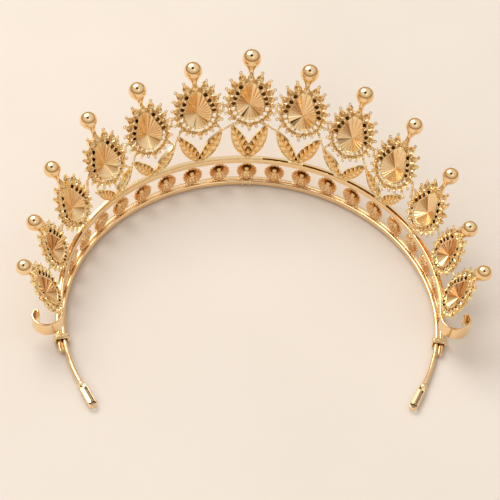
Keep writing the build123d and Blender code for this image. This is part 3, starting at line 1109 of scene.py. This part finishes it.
# each leaf tip is also tied up to the nearest prong of the drop above it
for step in range(1 - len(LEAF_TIPS), len(LEAF_TIPS)):
    reach, rise = LEAF_TIPS[abs(step)]
    for side in (-1, 1):
        start = leaf_place(step) @ Vector((side * reach, rise, 0))
        local = drop_place(step).inverted() @ start
        pitch = TAU / HALO_PRONGS
        turn = round(math.atan2(local.x, local.y) / pitch) * pitch
        tip = pear_point(HALO_TIP, turn, PEAK_SCALES[abs(step)] * 0.93)
        end = drop_place(step) @ tip
        tip_wires.add(*tube(sagging(start, end, 0.0, 4), LINK_RADIUS * 0.8, 8))
make_piece("tip_wires", tip_wires, [wire], ["tip_links"], 60)


# ------------------------------------------------------------------ table
def plaster_material():
    material, tree, shader = new_material("plaster")
    broad = add_noise(tree, 9, 3)
    fine = add_noise(tree, 260, 6, 0.6)
    tone = add_ramp(tree, broad, ((0.3, (0.78, 0.715, 0.65)), (0.7, (0.82, 0.755, 0.69))))
    tree.links.new(tone, shader.inputs["Base Color"])
    shader.inputs["Roughness"].default_value = 0.85
    relief = tree.nodes.new("ShaderNodeBump")
    relief.inputs["Strength"].default_value = 0.12
    relief.inputs["Distance"].default_value = 0.0006
    tree.links.new(fine, relief.inputs["Height"])
    tree.links.new(relief.outputs["Normal"], shader.inputs["Normal"])
    return material


table_size = 4.0
table_mesh = bpy.data.meshes.new("table")
table_mesh.from_pydata(
    [(x * table_size, y * table_size, 0) for x, y in ((-1, -1), (1, -1), (1, 1), (-1, 1))],
    [],
    [(0, 1, 2, 3)],
)
table = bpy.data.objects.new("table", table_mesh)
bpy.context.scene.collection.objects.link(table)
table_mesh.materials.append(plaster_material())


# ------------------------------------------------------------------ light
def add_area(name, location, target, size, power, colour):
    light = bpy.data.lights.new(name, "AREA")
    light.shape = "DISK"
    light.size = size
    light.energy = power
    light.color = colour
    lamp = bpy.data.objects.new(name, light)
    lamp.location = location
    lamp.rotation_mode = "QUATERNION"
    lamp.rotation_quaternion = (Vector(target) - Vector(location)).to_track_quat("-Z", "Y")
    bpy.context.scene.collection.objects.link(lamp)
    return lamp


add_area("key", (0.45, -0.6, 1.05), (0, 0, 0), 1.0, 8.6, (1.0, 0.97, 0.92))
fill = add_area("fill", (0.55, 0.8, 0.75), (0, 0, 0), 0.7, 2.6, (1.0, 0.97, 0.93))
fill.visible_glossy = False
gleam = add_area("gleam", (-0.35, 0.7, 1.1), (0, 0, 0), 0.5, 0.3, (1.0, 0.97, 0.92))
gleam.visible_diffuse = False


def room_light():
    """Pale room, browner low down, with a dark patch nearly overhead."""
    world = bpy.data.worlds.new("room")
    bpy.context.scene.world = world
    world.use_nodes = True
    tree = world.node_tree
    coords = tree.nodes.new("ShaderNodeTexCoord")
    split = tree.nodes.new("ShaderNodeSeparateXYZ")
    tree.links.new(coords.outputs["Generated"], split.inputs["Vector"])
    colour = add_ramp(
        tree,
        split.outputs["Z"],
        (
            (0.00, (0.31, 0.18, 0.09)),
            (0.14, (0.44, 0.29, 0.17)),
            (0.36, (0.70, 0.58, 0.45)),
            (0.60, (0.86, 0.81, 0.76)),
            (0.85, (0.98, 0.96, 0.93)),
        ),
    )
    facing = tree.nodes.new("ShaderNodeVectorMath")
    facing.operation = "DOT_PRODUCT"
    facing.inputs[1].default_value = (0.083, 0.227, 0.970)
    tree.links.new(coords.outputs["Generated"], facing.inputs[0])
    patch = add_ramp(
        tree, facing.outputs["Value"], ((0.956, (1, 1, 1)), (0.968, (0.04, 0.02, 0.012)))
    )
    colour = add_mix(tree, 1.0, colour, patch, "MULTIPLY")
    background = tree.nodes["Background"]
    tree.links.new(colour, background.inputs["Color"])
    background.inputs["Strength"].default_value = 0.86


room_light()


# ------------------------------------------------------------------ camera
CAMERA_PLACE = (0.026827, 0.303681, 0.370897)
CAMERA_RIGHT = (-0.998401, 0.026721, 0.049805)
CAMERA_UP = (0.013549, -0.742342, 0.669884)
CAMERA_BACK = (0.054872, 0.669488, 0.740793)
LENS = 98.69
lens = bpy.data.cameras.new("camera")
lens.sensor_width = 36
lens.lens = LENS
lens.clip_start, lens.clip_end = 0.01, 20
camera = bpy.data.objects.new("camera", lens)
rotation = Matrix((CAMERA_RIGHT, CAMERA_UP, CAMERA_BACK)).transposed().to_4x4()
rotation.translation = CAMERA_PLACE
camera.matrix_world = rotation
bpy.context.scene.collection.objects.link(camera)
bpy.context.scene.camera = camera
bpy.context.scene.view_settings.view_transform = "Standard"
